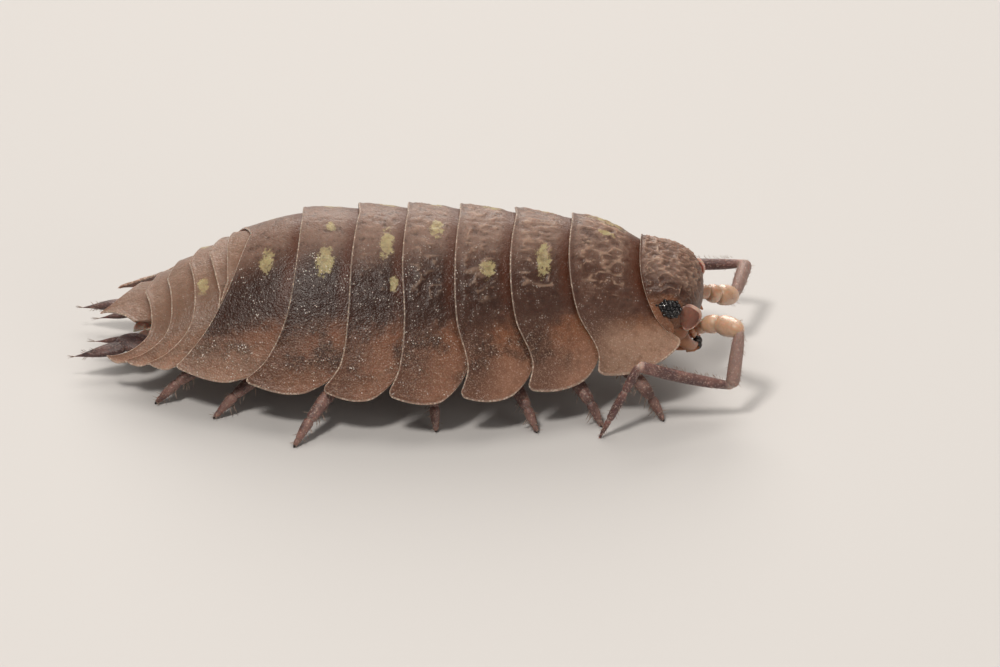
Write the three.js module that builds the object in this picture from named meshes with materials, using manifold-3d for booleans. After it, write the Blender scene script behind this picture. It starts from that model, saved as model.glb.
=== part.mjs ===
// A common shiny woodlouse (Oniscus asellus), an adult of 16 mm, standing on level ground.
// Millimetres, +Z up. The head points along +X, the animal's left is +Y, and z = 0 is the ground.
import * as THREE from "three";
import { mergeVertices } from "three/addons/utils/BufferGeometryUtils.js";
import Module from "manifold-3d";

const wasm = await Module();
wasm.setup();

// Body form: half width, height of the side edge and height of the back at stations along x
const halfWidth = through(
  [-7.95, 0.8], [-7.55, 1.74], [-7.05, 2.1], [-6.4, 2.35], [-5.65, 2.65], [-3.8, 3.3], [-1.7, 3.7],
  [0.3, 3.87], [1.9, 3.8], [3.7, 3.35], [5.5, 2.65], [6.3, 2.5], [7.2, 2.2], [7.9, 1.75],
);
const edgeHeight = through(
  [-7.55, 1.01], [-6.4, 1.15], [-5.65, 1.23], [0.3, 1.25], [3.7, 1.25], [5.5, 1.34], [6.3, 1.46],
  [7.2, 1.7], [7.9, 2.05],
);
const backHeight = through(
  [-7.9, 1.22], [-6.65, 1.9], [-6.1, 2.28], [-5.5, 2.8], [-4.9, 3.18], [-3.9, 3.73], [-2.5, 4.33],
  [-1, 4.5], [2, 4.56], [4, 4.5], [5.5, 4.37], [6.5, 3.9], [7.1, 3.63], [7.6, 3.3], [8.1, 2.6],
);

// Hind margins of the plates: x at these shares of the way from the midline to the side edge
const MARGIN_SHARES = [0, 0.4, 0.68, 0.88, 1];
const HEAD_MARGIN = [6.5, 6.55, 6.8, 7.2, 7.6];
const PEREON_MARGINS = [
  [4.68, 4.66, 4.93, 5.48, 5.5],
  [3.2, 3.12, 3.31, 3.79, 3.68],
  [1.72, 1.67, 1.78, 2.11, 1.92],
  [0.34, 0.29, 0.4, 0.32, 0.02],
  [-0.93, -1.06, -1.09, -1.24, -1.72],
  [-2.43, -2.52, -2.72, -3.2, -3.81],
  [-3.8, -4.22, -4.75, -5.3, -5.67],
];
const PLEON_MARGINS = [
  [-4.43, -4.34, -4.2, -4.1, -4.1],
  [-4.93, -4.6, -4.3, -4.2, -4.2],
  [-5.45, -5.22, -5.3, -5.85, -6.41],
  [-6.04, -5.85, -5.9, -6.45, -7.05],
  [-6.63, -6.4, -6.42, -6.95, -7.55],
];
const NARROW_SPANS = [0.5, 0.5];
const NARROW_LENGTH = 0.2;
const TELSON_TIP = -7.87;
const TELSON_SPAN = 0.46;

// How far the front corner of each side plate is rounded away
const PEREON_ROUNDING = [0, 0.1, 0.12, 0.11, 0.08, 0.05, 0.03];
const PLEON_ROUNDING = [0, 0, 0.03, 0.03, 0.03];
const SIDE_BULGE = 0.03;
const MIN_TONGUE = 0.02;

// Plates: thickness, clearance and the shingle step of each hind rim over the next plate
const PLATE = 0.14;
const GAP = 0.1;
const RIM_RISE = 0.1;
const SHINGLE = PLATE + GAP;
const FLANGE = 0.35;
const TONGUE = 0.21;
const CORE_SHARE = 0.5;
const THIN_SHARE = 0.7;
const BELLY_SHARE = 0.1;
const PEREON_COLUMNS = 20;
const PLEON_COLUMNS = 14;
const NARROW_COLUMNS = 10;

// Head
const HEAD_CENTRE = new THREE.Vector3(7.15, 0, 2.42);
const HEAD_FRONT = 1.02;
const HEAD_REAR = 0.22;
const HEAD_SIDE = 1.56;
const HEAD_TOP = 1.28;
const HEAD_BASE = 0.98;
const LOBE_CENTRE = new THREE.Vector3(7.8, 1.4, 2.46);
const LOBE_RADII = new THREE.Vector3(0.36, 0.22, 0.36);
const EYE_CENTRE = new THREE.Vector3(7.3, 1.42, 2.72);
const EYE_RADII = new THREE.Vector3(0.39, 0.2, 0.28);
const EYE_LEAN = 0.55;
const EYE_CLEARANCE = 0.05;
const COLLAR_SPAN = 0.72;
const MANDIBLE_TIP = new THREE.Vector3(8.02, 0.28, 1);

// Limbs
const LEG_SIDES = 6;
const FEELER_SIDES = 7;
const HIP_Y = 1.75;
const KNEE_Y = 1.15;
const LEG_ROOTS = [5.6, 4.05, 2.55, 1, -0.45, -1.9, -3.3];
const RIGHT_FEET = [
  [7.3, 2.7], [5.7, 3.1], [4, 3.5], [1.3, 3.6], [-2.46, 4.6], [-4.7, 3.2], [-6.3, 2.5],
];
const LEFT_FEET = [
  [7, 2.8], [6, 3.2], [3.6, 3.7], [1.6, 4.1], [-2.1, 4.4], [-4.4, 3.5], [-6.1, 2.7],
];

const LEG_RADII = [0.25, 0.24, 0.24, 0.23, 0.19, 0.08];

// Antennae: joint centres from the face out to the tip
const RIGHT_ANTENNA = [
  [8.06, -0.95, 1.88], [8.25, -1.12, 2.08], [9.2, -1.95, 2.42], [9.03, -2.5, 1.05], [6.6, -3.1, 1.92],
  [6.25, -3.28, 1.25], [5.85, -3.48, 0.5], [5.58, -3.62, -0.06],
];
const LEFT_ANTENNA = [
  [8, 0.95, 1.9], [8.25, 1.1, 1.8], [8.95, 1.55, 1.45], [9.2, 2.9, 1.69], [6.6, 3.55, 1.3],
  [6.15, 3.65, 0.85], [5.75, 3.75, 0.35], [5.5, 3.82, -0.06],
];
const ANTENNA_RADII = [0.19, 0.2, 0.23, 0.23, 0.19, 0.14, 0.12, 0.07];

// Tail limbs and gill plates
const PROTOPOD = [-7, 1, 0.98];
const UROPOD_BASE = [-7, 1.06, 0.98];
const UROPOD_TIP = [-8.4, 1.3, 0.72];
const ENDOPOD_BASE = [-6.9, 0.72, 0.95];
const ENDOPOD_TIP = [-7.9, 0.62, 0.8];
const PLEOPOD_START = -4.35;
const PLEOPOD_PITCH = 0.45;
const PLEOPOD_WIDTH = 1.05;
const PLEOPOD_THICKNESS = 0.1;
const PLEOPOD_TILT = 0.45;

const SHELL = { color: 0x4a3a36, roughness: 0.42, metalness: 0 };
const LIMB = { color: 0x6b4f4e, roughness: 0.5, metalness: 0 };
const EYE = { color: 0x0b0b0d, roughness: 0.2, metalness: 0 };
const PALE = { color: 0xb59a82, roughness: 0.55, metalness: 0 };

const woodlouse = new THREE.Group();

function mix(a, b, share) {
  return a + (b - a) * share;
}

// A smooth curve through a few (place, value) pairs, level beyond its two ends
function through(...pairs) {
  const last = pairs.length - 1;
  const slopes = pairs.map((pair, i) => {
    const before = pairs[Math.max(i - 1, 0)];
    const after = pairs[Math.min(i + 1, last)];
    return (after[1] - before[1]) / (after[0] - before[0]);
  });
  return (place) => {
    if (place <= pairs[0][0]) {
      return pairs[0][1];
    }
    if (place >= pairs[last][0]) {
      return pairs[last][1];
    }
    const i = pairs.findIndex((pair) => pair[0] > place) - 1;
    const width = pairs[i + 1][0] - pairs[i][0];
    const s = (place - pairs[i][0]) / width;
    const rise = (3 - 2 * s) * s * s;
    const ease = s * (1 - s) * (1 - s) * slopes[i] - s * s * (1 - s) * slopes[i + 1];
    return mix(pairs[i][1], pairs[i + 1][1], rise) + ease * width;
  };
}

function marginCurve(values) {
  const curve = through(...values.map((x, i) => [MARGIN_SHARES[i], x]));
  return (share) => curve(Math.abs(share));
}

// Point of the body's outer form at x and a share of the way to the side edge, raised by lift
function bodyPoint(x, share, lift) {
  const width = halfWidth(x);
  const height = backHeight(x) - edgeHeight(x);
  const angle = (Math.PI / 2) * share;
  const outward = new THREE.Vector3(0, height * (Math.PI / 2) * Math.sin(angle), width).normalize();
  const point = new THREE.Vector3(x, width * share, edgeHeight(x) + height * Math.cos(angle));
  return point.addScaledVector(outward, lift);
}

function bellyHeight(x) {
  return mix(edgeHeight(x), backHeight(x), BELLY_SHARE);
}

// A closed geometry between two like grids of points, the outer one seen from above
function gridSolid(outer, inner) {
  const rows = outer.length;
  const columns = outer[0].length;
  const positions = [...outer.flat(), ...inner.flat()].flatMap((point) => point.toArray());
  const top = (i, j) => i * columns + j;
  const under = (i, j) => rows * columns + top(i, j);
  const index = [];
  for (let i = 0; i < rows - 1; i += 1) {
    for (let j = 0; j < columns - 1; j += 1) {
      index.push(top(i, j), top(i + 1, j), top(i + 1, j + 1));
      index.push(top(i, j), top(i + 1, j + 1), top(i, j + 1));
      index.push(under(i, j), under(i + 1, j + 1), under(i + 1, j));
      index.push(under(i, j), under(i, j + 1), under(i + 1, j + 1));
    }
  }
  const wall = (a, b) => {
    index.push(top(...a), under(...a), under(...b));
    index.push(top(...a), under(...b), top(...b));
  };
  for (let i = 0; i < rows - 1; i += 1) {
    wall([i, 0], [i + 1, 0]);
    wall([i + 1, columns - 1], [i, columns - 1]);
  }
  for (let j = 0; j < columns - 1; j += 1) {
    wall([rows - 1, j], [rows - 1, j + 1]);
    wall([0, j + 1], [0, j]);
  }
  const geometry = new THREE.BufferGeometry();
  geometry.setAttribute("position", new THREE.Float32BufferAttribute(positions, 3));
  geometry.setIndex(index);
  return geometry;
}

function flangeLength(rear, front, t) {
  return Math.min(FLANGE, 0.45 * (front(t) - rear(t)));
}

// A back plate with its own slice of the body under it. Its hind flange lies over the next plate
// and its front tongue lies under the flange before it.
function plateGeometry({ rear, front, columns, span = 1, rounding = 0, tongue }) {
  const flange = (t) => flangeLength(rear, front, t);
  const body = (t, share) => mix(rear(t) + flange(t), front(t), share);
  const rows = [
    { x: rear, thin: true },
    { x: (t) => rear(t) + 0.9 * flange(t), thin: true },
    { x: (t) => body(t, 0), thin: false },
    { x: (t) => body(t, 0.4), thin: false },
    { x: (t) => body(t, 0.75), thin: false },
    { x: front, thin: false },
    { x: (t) => front(t) + tongue(t), thin: false },
  ];
  const outer = [];
  const inner = [];
  for (const row of rows) {
    const along = (row.x(span) - rear(span)) / (front(span) - rear(span));
    const bulge = SIDE_BULGE * Math.sin(Math.PI * Math.min(along, 1));
    const corner = rounding * THREE.MathUtils.smoothstep(along, 0.5, 1.15);
    const reach = span * (1 + (span === 1 ? bulge : 0) - corner);
    const above = [];
    const below = [];
    for (let j = 0; j <= columns; j += 1) {
      const t = reach * (-1 + (2 * j) / columns);
      const x = row.x(t);
      const fall = (SHINGLE * (x - rear(t))) / (front(t) - rear(t));
      const lift = RIM_RISE - fall;
      const point = bodyPoint(x, t, lift);
      const thin = bodyPoint(x, t, lift - PLATE);
      const depth = row.thin ? 0 : 1 - THREE.MathUtils.smoothstep(Math.abs(t), CORE_SHARE, THIN_SHARE);
      above.push(point);
      below.push(new THREE.Vector3(x, mix(thin.y, point.y, depth), mix(thin.z, bellyHeight(x), depth)));
    }
    outer.push(above);
    inner.push(below);
  }
  return gridSolid(outer, inner);
}

function toSolid(geometry) {
  const bare = geometry.index ? geometry.clone() : geometry;
  bare.deleteAttribute("normal");
  bare.deleteAttribute("uv");
  const merged = mergeVertices(bare, 1e-5);
  return new wasm.Manifold(new wasm.Mesh({
    numProp: 3,
    vertProperties: new Float32Array(merged.attributes.position.array),
    triVerts: new Uint32Array(merged.index.array),
  }));
}

// The largest closed surface of a solid, as a geometry
function toGeometry(solid) {
  const pieces = solid.decompose();
  const largest = pieces.reduce((best, piece) => (piece.volume() > best.volume() ? piece : best));
  const mesh = largest.getMesh();
  const geometry = new THREE.BufferGeometry();
  geometry.setAttribute("position", new THREE.Float32BufferAttribute(mesh.vertProperties, 3));
  geometry.setIndex(Array.from(mesh.triVerts));
  return geometry;
}

function joined(geometries) {
  return geometries.map(toSolid).reduce((whole, piece) => whole.add(piece));
}

function addPart(name, geometry, finish) {
  const mesh = new THREE.Mesh(geometry, new THREE.MeshStandardMaterial(finish));
  mesh.name = name;
  woodlouse.add(mesh);
}

// A tapered tube of few sides from one point to another, its radii at the start, evenly between
// and at the end
function articleGeometry(from, to, radii, sides) {
  const axis = to.clone().sub(from);
  const turn = new THREE.Quaternion().setFromUnitVectors(
    new THREE.Vector3(0, 1, 0),
    axis.clone().normalize(),
  );
  const length = axis.length();
  const profile = [
    new THREE.Vector2(0, 0),
    ...radii.map((radius, i) => new THREE.Vector2(radius, (length * i) / (radii.length - 1))),
    new THREE.Vector2(0, length),
  ];
  const geometry = new THREE.LatheGeometry(profile, sides);
  geometry.applyQuaternion(turn);
  geometry.translate(from.x, from.y, from.z);
  return geometry;
}

function slab(bottom, top) {
  const geometry = new THREE.BoxGeometry(60, 60, top - bottom);
  geometry.translate(0, 0, (bottom + top) / 2);
  return toSolid(geometry);
}

// A jointed limb along a chain of points, one article for each step, cut off flat at the ground
// and at the ceiling that it hangs from
function limbGeometry(points, radii, sides, ceiling = 9) {
  const articles = [];
  for (let i = 0; i < points.length - 1; i += 1) {
    const start = radii[i];
    const end = radii[i + 1];
    const back = points[i].clone().sub(points[i + 1]).setLength(i === 0 ? 0 : 0.5 * start);
    articles.push(articleGeometry(points[i].clone().add(back), points[i + 1], [start, end], sides));
  }
  return toGeometry(joined(articles).subtract(slab(-1, 0)).subtract(slab(ceiling, ceiling + 1)));
}

function ellipsoid(centre, radii, columns, rows) {
  const geometry = new THREE.SphereGeometry(1, columns, rows);
  geometry.rotateX(Math.PI / 2);
  geometry.scale(radii.x, radii.y, radii.z);
  geometry.translate(centre.x, centre.y, centre.z);
  return geometry;
}

function mirrored(point, side) {
  return new THREE.Vector3(point.x, side * point.y, point.z);
}

// The two sides of the animal, the sign of y on each
const SIDES = [["left", 1], ["right", -1]];

// Back plates of the trunk
const headRear = marginCurve(HEAD_MARGIN);
const pereonRears = PEREON_MARGINS.map(marginCurve);
const pleonRears = PLEON_MARGINS.map(marginCurve);
const fullTongue = () => TONGUE;
const tongueUnder = (rear, front) => (t) => Math.max(flangeLength(rear, front, t) - GAP, MIN_TONGUE);

function buildPereon() {
  pereonRears.forEach((rear, i) => {
    const front = i === 0 ? headRear : pereonRears[i - 1];
    const freeEdge = (t) => 1 - THREE.MathUtils.smoothstep(Math.abs(t), 0.6, 0.75);
    const tongue = i === 0 ? (t) => mix(0.02, fullTongue(), freeEdge(t)) : fullTongue;
    const rounding = PEREON_ROUNDING[i];
    const geometry = plateGeometry({ rear, front, columns: PEREON_COLUMNS, rounding, tongue });
    addPart(`pereonite_${i + 1}`, geometry, SHELL);
  });
}

// The first two tail plates are narrow: their margins run into the last trunk plate's own
function buildPleon() {
  const last = pereonRears[6];
  const fade = (t) => NARROW_LENGTH * (1 - THREE.MathUtils.smoothstep(Math.abs(t), 0.42, 0.6));
  const rears = [...pleonRears];
  rears[0] = (t) => Math.min(pleonRears[0](t), last(t) - fade(t));
  rears[1] = (t) => Math.min(pleonRears[1](t), rears[0](t) - fade(t));
  const fronts = [last, rears[0], (t) => Math.min(rears[1](t), last(t)), rears[2], rears[3]];
  const tongues = [
    (t) => mix(fullTongue(), MIN_TONGUE, THREE.MathUtils.smoothstep(Math.abs(t), 0.3, 0.45)),
    tongueUnder(rears[0], last),
    () => MIN_TONGUE,
    tongueUnder(rears[2], rears[1]),
    tongueUnder(rears[3], rears[2]),
  ];
  rears.forEach((rear, i) => {
    addPart(`pleonite_${i + 1}`, plateGeometry({
      rear,
      front: fronts[i],
      columns: i < 2 ? NARROW_COLUMNS : PLEON_COLUMNS,
      span: i < 2 ? NARROW_SPANS[i] : 1,
      rounding: PLEON_ROUNDING[i],
      tongue: tongues[i],
    }), SHELL);
  });
}

function buildTelson() {
  const front = pleonRears[4];
  const rear = (t) => mix(TELSON_TIP, -6.85, Math.min(Math.abs(t) / TELSON_SPAN, 1) ** 0.8);
  const columns = NARROW_COLUMNS;
  const tongue = tongueUnder(front, pleonRears[3]);
  addPart("telson", plateGeometry({ rear, front, columns, span: TELSON_SPAN, tongue }), SHELL);
}

// Head: a blunt skull under a collar that laps over the first trunk plate, with a rounded lobe at
// each front corner
function skullGeometry() {
  const geometry = new THREE.SphereGeometry(1, 24, 14);
  geometry.rotateX(Math.PI / 2);
  const places = geometry.attributes.position;
  for (let i = 0; i < places.count; i += 1) {
    const way = new THREE.Vector3().fromBufferAttribute(places, i);
    const forward = way.x > 0;
    const upward = way.z > 0;
    const power = forward && upward ? 1.75 : 2.6;
    const reach = new THREE.Vector3(
      forward ? HEAD_FRONT * (1 - 0.35 * THREE.MathUtils.smoothstep(-way.z, 0.1, 0.9)) : HEAD_REAR,
      HEAD_SIDE,
      upward ? HEAD_TOP : HEAD_BASE,
    );
    const sum = ["x", "y", "z"].reduce((all, k) => all + Math.abs(way[k] / reach[k]) ** power, 0);
    way.multiplyScalar(sum ** (-1 / power)).add(HEAD_CENTRE);
    places.setXYZ(i, way.x, way.y, way.z);
  }
  return geometry;
}

function collarGeometry() {
  const rows = [
    { share: 0, lift: RIM_RISE, depth: PLATE },
    { share: 0.9, lift: 0.05, depth: PLATE },
    { share: 1, lift: 0.04, depth: 0.45 },
    { share: 2.2, lift: -0.25, depth: 0.6 },
  ];
  const outer = [];
  const inner = [];
  for (const { share, lift, depth } of rows) {
    const above = [];
    const below = [];
    for (let j = 0; j <= PLEON_COLUMNS; j += 1) {
      const t = COLLAR_SPAN * (-1 + (2 * j) / PLEON_COLUMNS);
      const x = headRear(t) + FLANGE * share;
      above.push(bodyPoint(x, t, lift));
      below.push(bodyPoint(x, t, lift - depth));
    }
    outer.push(above);
    inner.push(below);
  }
  return gridSolid(outer, inner);
}

function eyeGeometry(side, margin) {
  const radii = EYE_RADII.clone().addScalar(margin);
  const geometry = new THREE.SphereGeometry(1, 12, 8);
  const places = geometry.attributes.position;
  for (let i = 0; i < places.count; i += 1) {
    const x = places.getX(i);
    const taper = 1 - 0.45 * THREE.MathUtils.smoothstep(-x, -0.2, 1);
    places.setXYZ(i, radii.x * x, radii.y * places.getY(i), radii.z * taper * places.getZ(i));
  }
  geometry.rotateX(EYE_LEAN);
  if (side < 0) {
    geometry.scale(1, -1, 1);
    geometry.index.array.reverse();
  }
  geometry.translate(EYE_CENTRE.x, side * EYE_CENTRE.y, EYE_CENTRE.z);
  return geometry;
}

function buildHead() {
  const lobes = SIDES.map(([, side]) => ellipsoid(mirrored(LOBE_CENTRE, side), LOBE_RADII, 12, 8));
  const sockets = SIDES.map(([, side]) => toSolid(eyeGeometry(side, EYE_CLEARANCE)));
  const head = joined([skullGeometry(), collarGeometry(), ...lobes]);
  addPart("cephalon", toGeometry(head.subtract(sockets[0]).subtract(sockets[1])), SHELL);
  for (const [name, side] of SIDES) {
    addPart(`eye_${name}`, eyeGeometry(side, 0), EYE);
  }
}

// Mouth: a wedge of lips and jaws under the face with the two dark biting tips of the mandibles
function buildMouth() {
  const wedge = new THREE.SphereGeometry(1, 14, 10);
  wedge.scale(0.55, 0.7, 0.3);
  wedge.rotateY(0.35);
  wedge.translate(7.55, 0, 1.06);
  const tips = SIDES.map(([, side]) => {
    const tip = mirrored(MANDIBLE_TIP, side);
    return articleGeometry(new THREE.Vector3(7.75, 0.8 * tip.y, 1.15), tip, [0.16, 0.15, 0.07], 8);
  });
  addPart("mouthparts", toGeometry(joined([wedge, ...tips])), PALE);
}

function vectors(points) {
  return points.map(([x, y, z]) => new THREE.Vector3(x, y, z));
}

function buildAntennae() {
  addPart("antenna_right", limbGeometry(vectors(RIGHT_ANTENNA), ANTENNA_RADII, FEELER_SIDES), LIMB);
  addPart("antenna_left", limbGeometry(vectors(LEFT_ANTENNA), ANTENNA_RADII, FEELER_SIDES), LIMB);
}

// Walking legs: from the hip in and down to the knee, then out under the side plate to the foot
function legPoints(root, foot, side) {
  const hip = bellyHeight(root) - GAP;
  const [footX, footY] = foot;
  const along = (share) => mix(root, footX, share);
  const outward = (share) => mix(KNEE_Y, footY, share);
  const chain = [
    [root, HIP_Y, hip + 0.1],
    [along(0.05), KNEE_Y, hip - 0.45],
    [along(0.3), outward(0.42), 1.16],
    [along(0.5), outward(0.62), 1.04],
    [along(0.76), outward(0.84), 0.6],
    [footX, footY, -0.08],
  ];
  return chain.map(([x, y, z]) => new THREE.Vector3(x, side * y, z));
}

function buildLegs() {
  const feet = { left: LEFT_FEET, right: RIGHT_FEET };
  for (const [name, side] of SIDES) {
    LEG_ROOTS.forEach((root, i) => {
      const points = legPoints(root, feet[name][i], side);
      const ceiling = bellyHeight(root) - GAP;
      addPart(`leg_${name}_${i + 1}`, limbGeometry(points, LEG_RADII, LEG_SIDES, ceiling), LIMB);
    });
  }
}

// Tail limbs: a short base with a long outer lance and a thin inner one
function buildUropods() {
  for (const [name, side] of SIDES) {
    const place = ([x, y, z]) => new THREE.Vector3(x, side * y, z);
    const lance = articleGeometry(place(UROPOD_BASE), place(UROPOD_TIP), [0.16, 0.22, 0.04], 8);
    const inner = articleGeometry(place(ENDOPOD_BASE), place(ENDOPOD_TIP), [0.1, 0.09, 0.04], 6);
    const base = ellipsoid(place(PROTOPOD), new THREE.Vector3(0.3, 0.24, 0.15), 10, 6);
    addPart(`uropod_${name}`, toGeometry(joined([base, lance, inner])), SHELL);
  }
}

// Gill plates under the tail, one joined pair of flaps for each tail segment
function pleopodGeometry(x) {
  const outline = new THREE.Shape();
  outline.moveTo(0, -PLEOPOD_WIDTH);
  outline.quadraticCurveTo(-0.75, -PLEOPOD_WIDTH, -0.9, -0.45);
  outline.quadraticCurveTo(-0.9, -0.12, -0.5, 0);
  outline.quadraticCurveTo(-0.9, 0.12, -0.9, 0.45);
  outline.quadraticCurveTo(-0.75, PLEOPOD_WIDTH, 0, PLEOPOD_WIDTH);
  const flap = new THREE.ExtrudeGeometry(outline, {
    depth: PLEOPOD_THICKNESS,
    bevelEnabled: false,
    curveSegments: 5,
  });
  flap.rotateY(-PLEOPOD_TILT);
  flap.translate(x, 0, bellyHeight(x) - GAP - PLEOPOD_THICKNESS);
  return flap;
}

function buildPleopods() {
  for (let i = 0; i < 5; i += 1) {
    addPart(`pleopods_${i + 1}`, pleopodGeometry(PLEOPOD_START - PLEOPOD_PITCH * i), PALE);
  }
}

buildHead();
buildMouth();
buildAntennae();
buildPereon();
buildPleon();
buildTelson();
buildUropods();
buildPleopods();
buildLegs();

// The origin is on the ground under the middle of the whole animal's box
const box = new THREE.Box3().setFromObject(woodlouse);
woodlouse.position.set(-(box.min.x + box.max.x) / 2, -(box.min.y + box.max.y) / 2, 0);

export default woodlouse;
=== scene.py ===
import math

import bpy
import numpy as np
from mathutils import Matrix, Vector, noise


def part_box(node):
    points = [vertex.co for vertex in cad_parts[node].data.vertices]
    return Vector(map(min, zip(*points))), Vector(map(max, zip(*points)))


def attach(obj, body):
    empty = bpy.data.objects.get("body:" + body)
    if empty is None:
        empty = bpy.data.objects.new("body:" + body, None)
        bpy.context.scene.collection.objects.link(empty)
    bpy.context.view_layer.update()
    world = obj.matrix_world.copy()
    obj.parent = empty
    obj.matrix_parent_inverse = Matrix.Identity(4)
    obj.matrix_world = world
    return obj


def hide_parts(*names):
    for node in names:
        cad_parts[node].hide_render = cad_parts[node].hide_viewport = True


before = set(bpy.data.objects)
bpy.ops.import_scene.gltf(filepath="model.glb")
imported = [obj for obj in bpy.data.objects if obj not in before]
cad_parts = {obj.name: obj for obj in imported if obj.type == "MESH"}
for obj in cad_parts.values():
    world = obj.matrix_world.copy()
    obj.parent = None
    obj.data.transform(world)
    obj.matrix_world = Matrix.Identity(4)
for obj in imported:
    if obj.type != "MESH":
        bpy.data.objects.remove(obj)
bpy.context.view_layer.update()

MM = 0.001
SIDES = (("left", 1), ("right", -1))

# Hind margins of the plates: x at these shares of the way from the midline to the side edge
MARGIN_SHARES = [0, 0.4, 0.68, 0.88, 1]
HEAD_MARGIN = [6.5, 6.57, 6.93, 7.48, 7.85]
PEREON_MARGINS = [
    [4.68, 4.66, 4.93, 5.48, 5.5],
    [3.2, 3.12, 3.31, 3.79, 3.68],
    [1.72, 1.67, 1.78, 2.11, 1.92],
    [0.34, 0.29, 0.4, 0.32, 0.02],
    [-0.93, -1.06, -1.09, -1.24, -1.72],
    [-2.43, -2.52, -2.72, -3.2, -3.81],
    [-3.8, -4.22, -4.75, -5.3, -5.67],
]
PLEON_MARGINS = [
    [-4.43, -4.34, -4.2, -4.1, -4.1],
    [-4.93, -4.6, -4.3, -4.2, -4.2],
    [-5.45, -5.22, -5.3, -5.85, -6.41],
    [-6.04, -5.85, -5.9, -6.45, -7.05],
    [-6.63, -6.4, -6.42, -6.95, -7.55],
]
PLEON_SPANS = [0.54, 0.58, 1.0, 1.0, 1.0]
NARROW_LENGTH = 0.12
TELSON_TIP = -7.87
TELSON_CORNER = -6.85
TELSON_SPAN = 0.46

# Corners of the side plates, rounded away, and how far their edges bulge
PEREON_ROUNDING = [0.08, 0.08, 0.08, 0.11, 0.07, 0.05, 0.03]
PLEON_ROUNDING = [0, 0, 0.03, 0.03, 0.03]
SIDE_BULGE = 0.03
HIND_CORNER = 0.022

# Plates: thickness at the margins and what the middle adds, height of the hind rim and of its lip, drop
# from the rim to the front, and reach under the plate before
RIM_THICKNESS = 0.055
CORE_THICKNESS = 0.14
RIM_RISE = 0.075
LIP_HEIGHT = 0.014
SHINGLE = 0.15
PLEON_SHINGLES = [0.07] + 4 * [SHINGLE]
PEREON_TONGUES = [0.05] + 6 * [0.22]
PLEON_TONGUES = [0.22, 0.1, 0.1, 0.12, 0.12]
TELSON_TONGUE = 0.12

# Wrinkles: how fast they change along the body and across it
PLATE_STRETCH = (2.2, 5.5)
HEAD_STRETCH = (4.6, 7.0)

# Markings of each plate: yellow patches as (x, share, length, breadth) with right shares below 0, how
# dark its band is, and how high its wrinkles are
PEREON_SPOTS = [
    [(5.6, 0.16, 0.5, 0.12), (5.6, -0.1, 0.25, 0.04)],
    [(4.0, -0.36, 0.22, 0.13), (3.95, 0.26, 0.3, 0.09)],
    [(2.55, -0.42, 0.24, 0.06), (2.5, 0.2, 0.3, 0.07), (2.5, 0.42, 0.2, 0.08)],
    [(1.15, -0.13, 0.2, 0.09), (1.05, 0.25, 0.2, 0.1)],
    [(-0.15, -0.26, 0.2, 0.13), (0.1, -0.5, 0.12, 0.05), (-0.2, 0.26, 0.28, 0.1)],
    [(-1.75, -0.38, 0.28, 0.1), (-1.65, -0.13, 0.14, 0.05), (-1.7, 0.3, 0.32, 0.13)],
    [(-3.3, -0.32, 0.22, 0.1), (-3.25, 0.32, 0.24, 0.12)],
]
PEREON_TONES = [0.25, 0.6, 0.72, 0.85, 0.9, 0.95, 0.85]
PEREON_WRINKLES = [0.05, 0.05, 0.048, 0.042, 0.03, 0.014, 0.008]
PLEON_SPOTS = [[], [], [(-5.0, -0.36, 0.16, 0.1), (-5.1, 0.35, 0.14, 0.1)], [], []]
PLEON_TONES = [0.4, 0.35, 0.3, 0.25, 0.2]
TELSON_TONE = 0.2
TAIL_WRINKLE = 0.006

# Belly skin: its ends, share of the body's width, lift from the back, and the crease a little ahead of
# each plate's hind margin
BELLY_REAR, BELLY_FRONT, BELLY_HALF_LENGTH = -6.6, 6.7, 6.75
BELLY_SPAN = 0.62
BELLY_LIFT = -0.4
CREASE_AHEAD, CREASE_DEPTH, CREASE_LENGTH = 0.3, 0.07, 0.07

# Head: skull, the point its skin bulges away from, turns in degrees from rim to chin, relief and lobes
HEAD_CENTRE = (7.15, 0.0, 2.42)
HEAD_MIDDLE = (6.9, 0.0, 2.5)
HEAD_FRONT, HEAD_SIDE, HEAD_TOP, HEAD_BASE = 1.02, 1.56, 1.28, 0.98
HEAD_RIM_TURN, HEAD_CHIN_TURN = 118, -165
HEAD_WRINKLE, BROW_HEIGHT, HEAD_LIP = 0.075, 0.05, 0.02
LOBE_CENTRE, LOBE_RADII, LOBE_EDGE = (7.83, 1.37, 2.41), (0.34, 0.08, 0.35), 0.055

# Eyes: how far they lean out, how much the rear end narrows and rises, and the lenses' size and spacing
EYE_CENTRE, EYE_RADII, EYE_LEAN = (7.3, 1.42, 2.7), (0.37, 0.19, 0.26), 0.55
EYE_TAPER, EYE_RISE = 0.5, 0.35
OCELLUS, OCELLUS_PITCH, ROW_PITCH = 0.053, 0.106, 0.87

# Mouth: rounded plates by centre and half sizes, feelers and jaws by points, paired parts on the left
UPPER_LIP = ((7.86, 0, 1.62), (0.2, 0.72, 0.2))
FACE_PLATE = ((7.9, 0, 1.38), (0.13, 0.46, 0.24))
UNDER_PLATE = ((7.3, 0.32, 1.0), (0.62, 0.3, 0.11))
CHEEK = ((7.12, 1.2, 1.92), (0.72, 0.31, 0.44))
ANTENNULE = [(7.96, 0.4, 1.76), (8.08, 0.42, 1.74), (8.14, 0.43, 1.66)]
ANTENNULE_RADII = [0.07, 0.06, 0.02]
PALP = [(7.75, 0.4, 0.93), (7.95, 0.36, 0.9), (8.08, 0.3, 0.93)]
PALP_RADII = [0.1, 0.07, 0.02]
MANDIBLE = [(7.5, 1.0, 1.78), (7.72, 0.94, 1.46), (7.9, 0.6, 1.16), (8.0, 0.13, 0.93)]
MANDIBLE_RADII = (0.25, 0.06)
JAW_TIP, JAW_TIP_RADII = (8.02, 0.11, 0.89), (0.13, 0.11, 0.14)

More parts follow.
